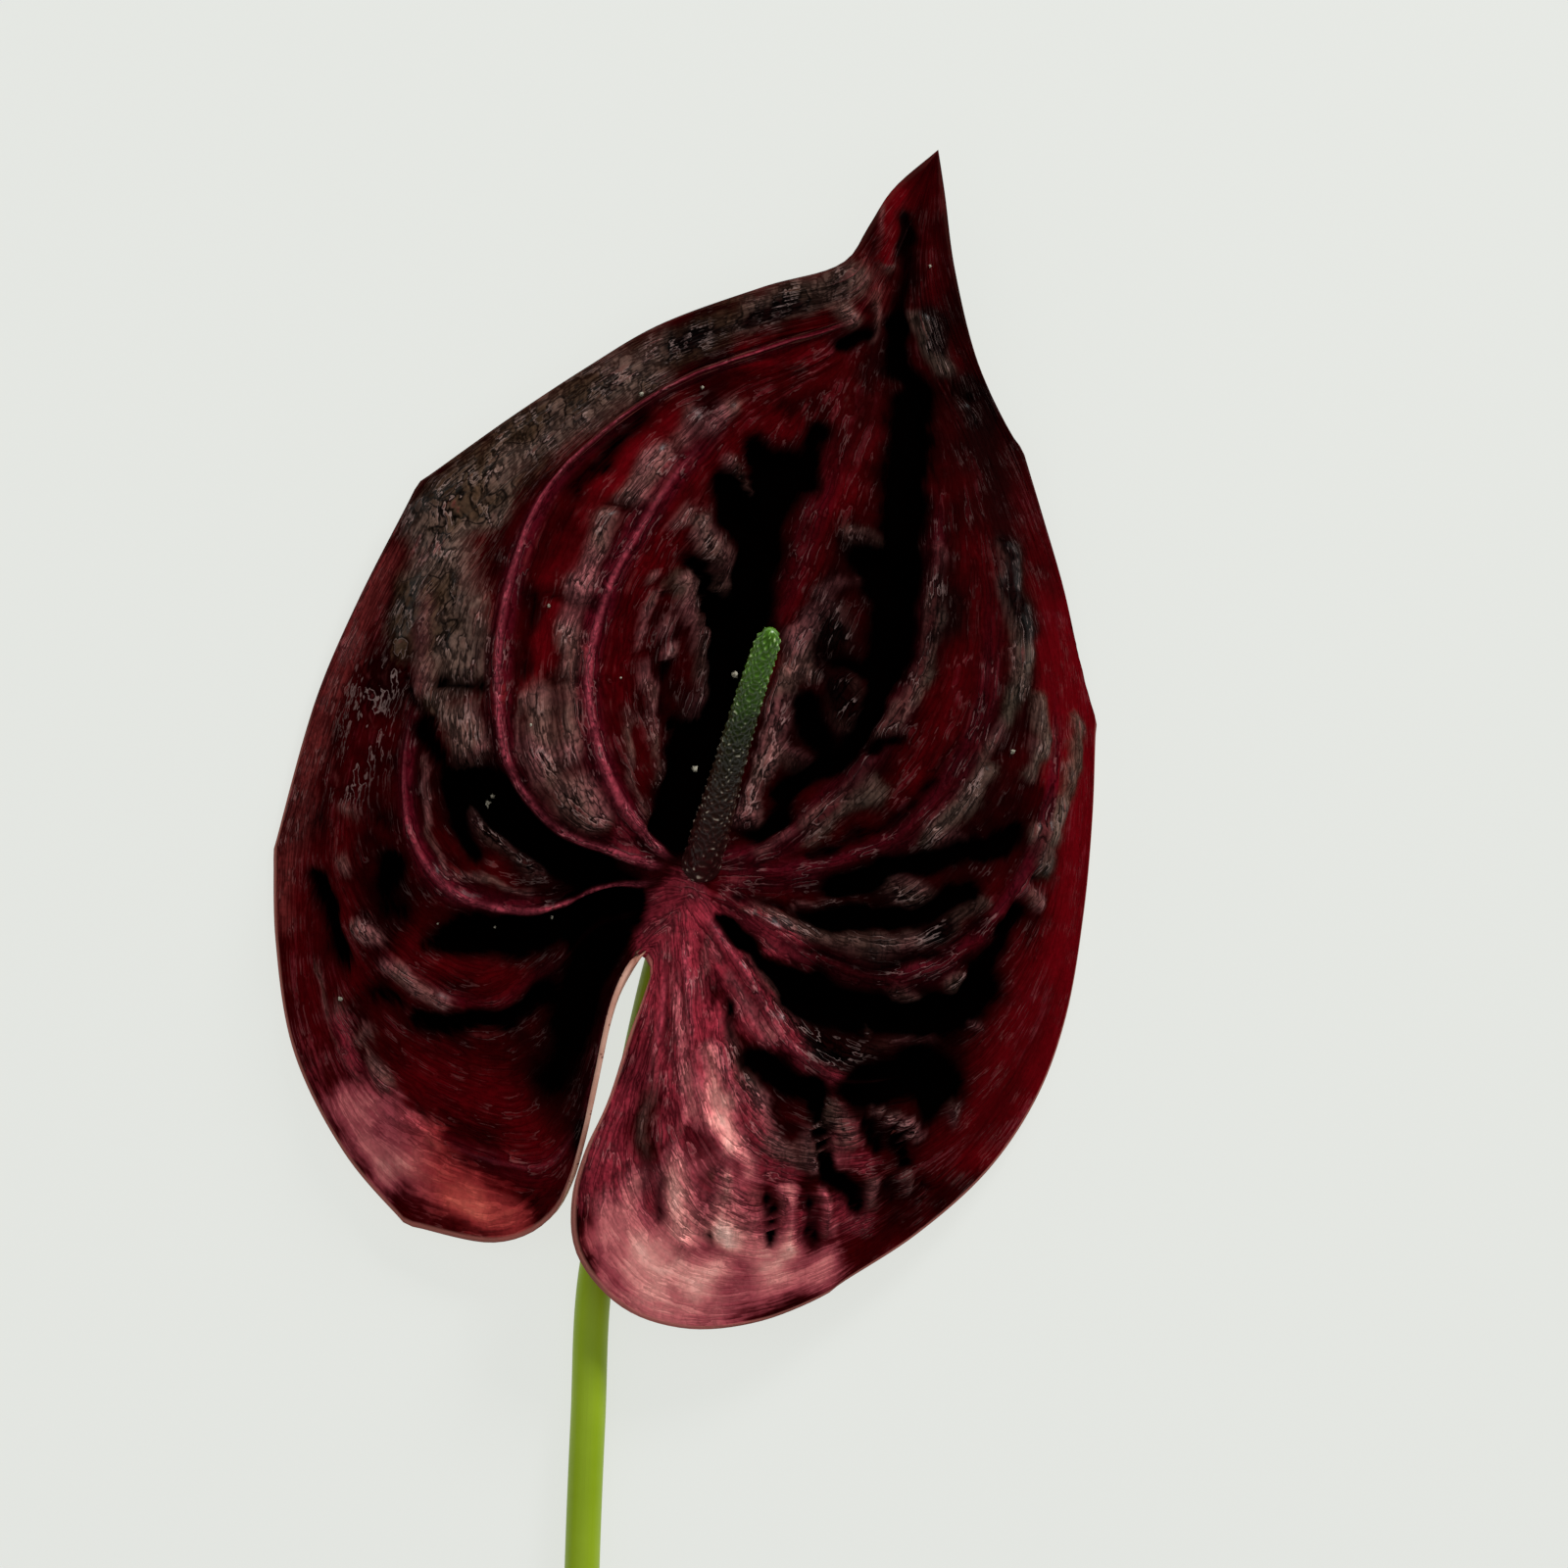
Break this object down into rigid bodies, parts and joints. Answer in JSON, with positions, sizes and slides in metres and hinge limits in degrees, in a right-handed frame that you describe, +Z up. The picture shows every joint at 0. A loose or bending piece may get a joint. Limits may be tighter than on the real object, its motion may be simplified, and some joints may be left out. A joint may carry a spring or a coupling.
{
  "type": "anthurium cut flower",
  "caption": "Heart-shaped, veined anthurium spathe, dark and glossy, with an upright spadix on a long bare stem, lying face up.",
  "frame": {"origin": "on the table, below the middle of the box round the lying flower", "axes": "+Y runs along the stem towards the spathe's tip, +Z up from the table, out of the spathe's face"},
  "size_m": [0.1274, 0.4002, 0.0469],
  "materials": {
    "stem": "smooth green plant skin, slightly glossy",
    "spathe": "waxy, glossy, wrinkled, black maroon with pink veins",
    "spadix": "fine bumps, brown at the base to green at the tip"
  },
  "bodies": {
    "root": {"stem": "stem", "spathe": "spathe", "spadix": "spadix"}
  },
  "joints": []
}
